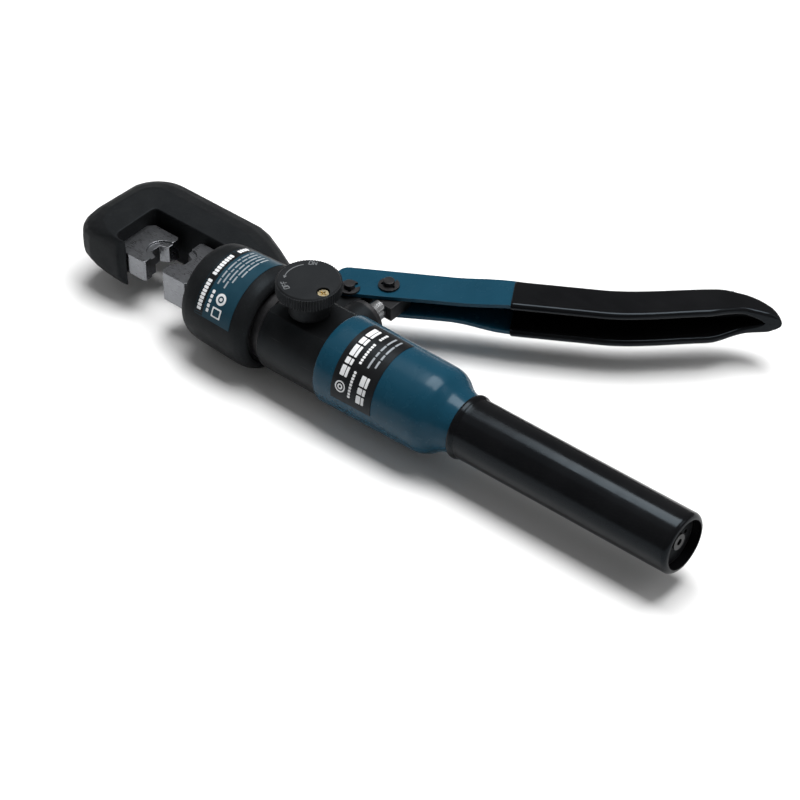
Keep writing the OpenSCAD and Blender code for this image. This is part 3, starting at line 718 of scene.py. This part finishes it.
def patch(bm, radius, x0, x1, a0, a1, round_by=0.0, lift=0.02, thick=0.04):
    """A thin printed patch on a round surface between two x and two angles (degrees)."""
    mid_x, half_x = (x0 + x1) / 2, (x1 - x0) / 2
    mid_r = radius(mid_x)
    mid_a, half_a = math.radians(a0 + a1) / 2, math.radians(a1 - a0) / 2 * mid_r
    cut = min(round_by, half_x, half_a)
    steps = max(1, round(half_a))
    ends = []
    if cut:
        ends = [(half_a - cut + cut * math.sin(t), half_x - cut + cut * math.cos(t))
                for t in CORNER]
    span = [((half_a - cut) * (2 * i / steps - 1), half_x) for i in range(steps + 1)]
    stations = [(-a, h) for a, h in reversed(ends)] + span + ends
    outline = ((-1, lift - SKIRT), (-1, lift + thick), (1, lift + thick), (1, lift - SKIRT))
    rings = []
    for along, half in stations:
        a = mid_a + along / mid_r
        ring = []
        for side, height in outline:
            x = mid_x + side * half
            r = radius(x) + height
            ring.append(bm.verts.new(tool(x, r * math.cos(a), r * math.sin(a))))
        rings.append(ring)
    for one, two in zip(rings, rings[1:]):
        for k in range(3):
            bm.faces.new((one[k], one[k + 1], two[k + 1], two[k]))
    bm.faces.new(rings[0])
    bm.faces.new(rings[-1])


def row(bm, radius, x0, x1, a_start, a_end, marks, gap, split=False):
    """A row of plain blocks round the surface, their widths in the proportions of marks."""
    unit = ((a_end - a_start) - gap * (len(marks) - 1)) / sum(marks)
    cut = x0 + (x1 - x0) * SPLIT_AT
    a = a_start
    for width in marks:
        end = a + width * unit
        if split:
            patch(bm, radius, x0, cut - SPLIT_GAP, a, end, 0.3)
            patch(bm, radius, cut + SPLIT_GAP, x1, a, end, 0.3)
        else:
            patch(bm, radius, x0, x1, a, end, min(0.35, (x1 - x0) * 0.25))
        a = end + gap


def bars(bm, radius, x0, x1, gap, *runs):
    """Runs of equal bars, one every 4 degrees: each run is a start angle and a count."""
    for start, count in runs:
        row(bm, radius, x0, x1, start, start + 4 * count - 1, [1] * count, gap)


def band(bm, radius, x, angle, r_out, r_in, lift=0.05):
    """A flat ring printed on a round surface."""
    mid_r = radius(x)
    outer, inner = [], []
    for k in range(RING_STEPS):
        t = 2 * math.pi * k / RING_STEPS
        for ring, size in ((outer, r_out), (inner, r_in)):
            px, pa = size * math.cos(t), size * math.sin(t)
            r = radius(x + px) + lift
            a = math.radians(angle) + pa / mid_r
            ring.append(bm.verts.new(tool(x + px, r * math.cos(a), r * math.sin(a))))
    for k in range(RING_STEPS):
        m = (k + 1) % RING_STEPS
        bm.faces.new((outer[k], outer[m], inner[m], inner[k]))


def bm_object(bm, name, body, slot, mat):
    """Turns a finished bmesh into a dressed piece."""
    bmesh.ops.recalc_face_normals(bm, faces=bm.faces)
    mesh = bpy.data.meshes.new(name)
    bm.to_mesh(mesh)
    bm.free()
    return dress(add_object(name, mesh), body, slot, MATS[mat])


# the collar label: a dark strip with bars, then thin rows and two plain shapes
strip = bmesh.new()
patch(strip, collar_label_r, -45.4, -41.0, 58.6, 165.4, lift=0.0, thick=0.02)
bm_object(strip, "collar_strip", "head", "label_black", "label_black")

label = bmesh.new()
bars(label, collar_label_r, -44.5, -42.3, 0.8, (64, 4), (88, 8), (125, 9))
row(label, collar_label_r, -39.6, -38.2, 133, 158, [3, 3, 3, 3, 3], 1.4)
band(label, collar_label_r, -33.8, 139, 2.6, 0.0)
row(label, collar_label_r, -36.4, -31.4, 149, 160, [1], 0)
bm_object(label, "collar_print", "head", "label_blue", "print_white")

small = bmesh.new()
for x, marks, a_end in ((-39.6, [3, 5, 2, 6, 4, 3], 126), (-37.6, [6, 3, 4, 2, 5], 122),
                        (-35.6, [2, 6, 3, 5, 3], 127), (-33.6, [5, 2, 6, 3], 118),
                        (-31.6, [4, 5, 3], 108)):
    row(small, collar_label_r, x, x + 0.75, 66, a_end, marks, 1.6)
bm_object(small, "collar_small_print", "head", "label_blue", "print_soft")

cutouts = bmesh.new()
band(cutouts, collar_label_r, -33.8, 139, 1.5, 0.8, lift=0.08)
patch(cutouts, collar_label_r, -35.7, -32.1, 150.6, 158.4, 0.4, lift=0.05)
bm_object(cutouts, "collar_print_inner", "head", "label_blue", "label_blue")

# the housing label: two split rows, bars, a round mark and two thin rows
small = bmesh.new()
row(small, housing_label_r, 41.8, 42.7, 72, 128, [7, 4, 3, 6], 1.8)
row(small, housing_label_r, 44.8, 45.7, 72, 124, [5, 6, 3, 4], 1.8)
bm_object(small, "housing_small_print", "pump", "label_black", "print_soft")

label = bmesh.new()
row(label, housing_label_r, 31.2, 35.0, 74, 150, [7, 4, 6, 3, 5], 2.6, True)
bars(label, housing_label_r, 37.4, 38.7, 0.9, (74, 4), (97, 8), (138, 9))
row(label, housing_label_r, 41.8, 45.8, 138, 174, [5, 3, 4], 2.4, True)
band(label, housing_label_r, 33.1, 164, 2.6, 2.0)
band(label, housing_label_r, 33.1, 164, 1.3, 0.6)
bm_object(label, "housing_print", "pump", "label_black", "print_white")

# ---------- the knob's arrow and its two settings ----------

KNOB_TOP = 32.7
MARK_Z = KNOB_TOP + 0.03
MARK_DEPTH = 0.08
ARROW_R = 10.2
ARROW_WIDTH = 0.42
ARROW_STEPS = 28

# plain stroke letters on a grid 4 high
GLYPHS = {
    "O": [((0, 0), (0, 4)), ((0, 4), (2.4, 4)), ((2.4, 4), (2.4, 0)), ((2.4, 0), (0, 0))],
    "N": [((0, 0), (0, 4)), ((0, 4), (2.4, 0)), ((2.4, 0), (2.4, 4))],
    "F": [((0, 0), (0, 4)), ((0, 4), (2.3, 4)), ((0, 2.1), (1.9, 2.1))],
}
LETTER_PITCH = 3.4
LETTER_GAP = 1.0
LETTER_STROKE = 0.75


def flat_mark(bm, outline):
    """A thin flat shape on the knob's top face."""
    top = [bm.verts.new(tool(x, y, MARK_Z)) for x, y in outline]
    base = [bm.verts.new(tool(x, y, MARK_Z - MARK_DEPTH)) for x, y in outline]
    bm.faces.new(top)
    for k in range(len(outline)):
        m = (k + 1) % len(outline)
        bm.faces.new((top[k], base[k], base[m], top[m]))


def stroke(bm, a, b, width):
    """A straight bar between two points."""
    a, b = Vector(a), Vector(b)
    side = (b - a).normalized() * width / 2
    side = Vector((-side.y, side.x))
    flat_mark(bm, [a + side, b + side, b - side, a - side])


def on_circle(radius, angle):
    return radius * math.cos(angle), radius * math.sin(angle)


def arrow_marks():
    """The curved arrow: short flat pieces along an arc, then its point."""
    bm = bmesh.new()
    start, end, point = 143, 206, 214
    low, high = ARROW_R - ARROW_WIDTH / 2, ARROW_R + ARROW_WIDTH / 2
    for i in range(ARROW_STEPS):
        t0, t1 = (math.radians(start + (end - start) * k / ARROW_STEPS) for k in (i, i + 1))
        flat_mark(bm, [on_circle(low, t0), on_circle(high, t0), on_circle(high, t1),
                       on_circle(low, t1)])
    wings = math.radians(end - 1)
    flat_mark(bm, [on_circle(ARROW_R, math.radians(point)), on_circle(ARROW_R + 0.8, wings),
                   on_circle(ARROW_R - 0.8, wings)])
    bm_object(bm, "knob_arrow", "knob", "matte_black", "print_grey")


def lettering(word, centre, turn, size):
    """A setting's name, centred on a point and turned by degrees."""
    bm = bmesh.new()
    width = len(word) * LETTER_PITCH - LETTER_GAP
    c, s = math.cos(math.radians(turn)), math.sin(math.radians(turn))
    for i, glyph in enumerate(word):
        for ends in GLYPHS[glyph]:
            placed = []
            for px, py in ends:
                px, py = (px + i * LETTER_PITCH - width / 2) * size, (py - 2) * size
                placed.append((centre[0] + c * px - s * py, centre[1] + s * px + c * py))
            stroke(bm, *placed, LETTER_STROKE * size)
    bm_object(bm, "knob_" + word.lower(), "knob", "matte_black", "print_grey")


arrow_marks()
lettering("ON", (-5.8, 9.4), 30, 0.55)
lettering("OFF", (-5.1, -8.9), 150, 0.55)

# ---------- studio ----------

FLOOR_HALF = 3
FLOOR_DROP = 0.0002
WORLD_STRENGTH = 0.2
TARGET = tool(53.38, -5.07, 0)
CAMERA_AZIMUTH, CAMERA_ELEVATION, CAMERA_DISTANCE = 39.9, 41.0, 1.2304

# name, azimuth, elevation, distance, size and power
SOFTBOXES = (
    ("overhead", 180, 76, 1.1, (0.95, 0.6), 22),
    ("front_left", -70, 55, 1.6, (1.0, 1.0), 1.1),
    ("right_side", 118, 34, 1.5, (0.5, 0.8), 2.6),
)

corners = [(-FLOOR_HALF, -FLOOR_HALF, 0), (FLOOR_HALF, -FLOOR_HALF, 0),
           (FLOOR_HALF, FLOOR_HALF, 0), (-FLOOR_HALF, FLOOR_HALF, 0)]
floor = mesh_object("floor", corners, [(0, 1, 2, 3)])
n = Nodes("floor_paper")
paper = n.ramp(n.noise(3, 3), (0.3, 0.80), (0.7, 0.83))
paper_rough = n.ramp(n.noise(8, 3), (0.3, 0.75), (0.7, 0.85))
floor.data.materials.append(n.finish(paper, paper_rough, n.bump(n.noise(300, 3), 0.1, 0.05)))
floor.location.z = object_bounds()[0].z - FLOOR_DROP


def aim(name, data, azimuth, elevation, distance):
    """Puts a light or camera at a distance in a direction, looking at TARGET."""
    a, e = math.radians(azimuth), math.radians(elevation)
    back = Vector((math.sin(a) * math.cos(e), -math.cos(a) * math.cos(e), math.sin(e)))
    obj = add_object(name, data)
    obj.location = TARGET + back * distance
    obj.rotation_mode = "QUATERNION"
    obj.rotation_quaternion = back.to_track_quat("Z", "Y")
    return obj


for name, azimuth, elevation, distance, size, power in SOFTBOXES:
    light = bpy.data.lights.new(name, "AREA")
    light.shape = "RECTANGLE"
    light.size, light.size_y = size
    light.energy = power
    aim(name, light, azimuth, elevation, distance)

world = bpy.data.worlds.new("studio")
world.use_nodes = True
world.node_tree.nodes["Background"].inputs["Color"].default_value = (1, 1, 1, 1)
world.node_tree.nodes["Background"].inputs["Strength"].default_value = WORLD_STRENGTH
bpy.context.scene.world = world

camera = bpy.data.cameras.new("camera")
camera.sensor_width = 36
camera.lens = 135
camera.clip_start, camera.clip_end = 0.05, 20
bpy.context.scene.camera = aim("camera", camera, CAMERA_AZIMUTH, CAMERA_ELEVATION,
                               CAMERA_DISTANCE)
bpy.context.scene.view_settings.view_transform = "Standard"
